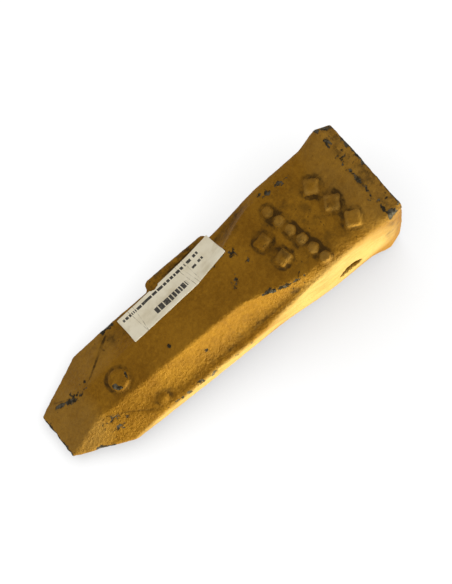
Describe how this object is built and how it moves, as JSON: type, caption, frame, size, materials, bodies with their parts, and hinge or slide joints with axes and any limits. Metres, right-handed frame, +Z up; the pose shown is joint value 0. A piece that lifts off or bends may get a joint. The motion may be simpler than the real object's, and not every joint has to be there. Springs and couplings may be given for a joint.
{
  "type": "ripper shank tooth",
  "caption": "Hollow cast wedge tooth with a chisel edge, centre spine and scalloped flanks; it slides over an adapter nose and a cross pin through its collar holds it.",
  "frame": {"origin": "centre of the cross-pin bore, midway between the two side walls", "axes": "+X level towards the chisel edge, +Y along the pin towards the flank without the cast lug, +Z up from the ground that the tooth lies on"},
  "size_m": [0.2589, 0.0782, 0.0909],
  "materials": {
    "painted_casting": "thin ochre gold paint on sand-cast steel, chipped to grey at the edges",
    "label_paper": "matt creased paper"
  },
  "bodies": {
    "root": {"tooth": "painted_casting", "paper_label": "label_paper"}
  },
  "joints": []
}
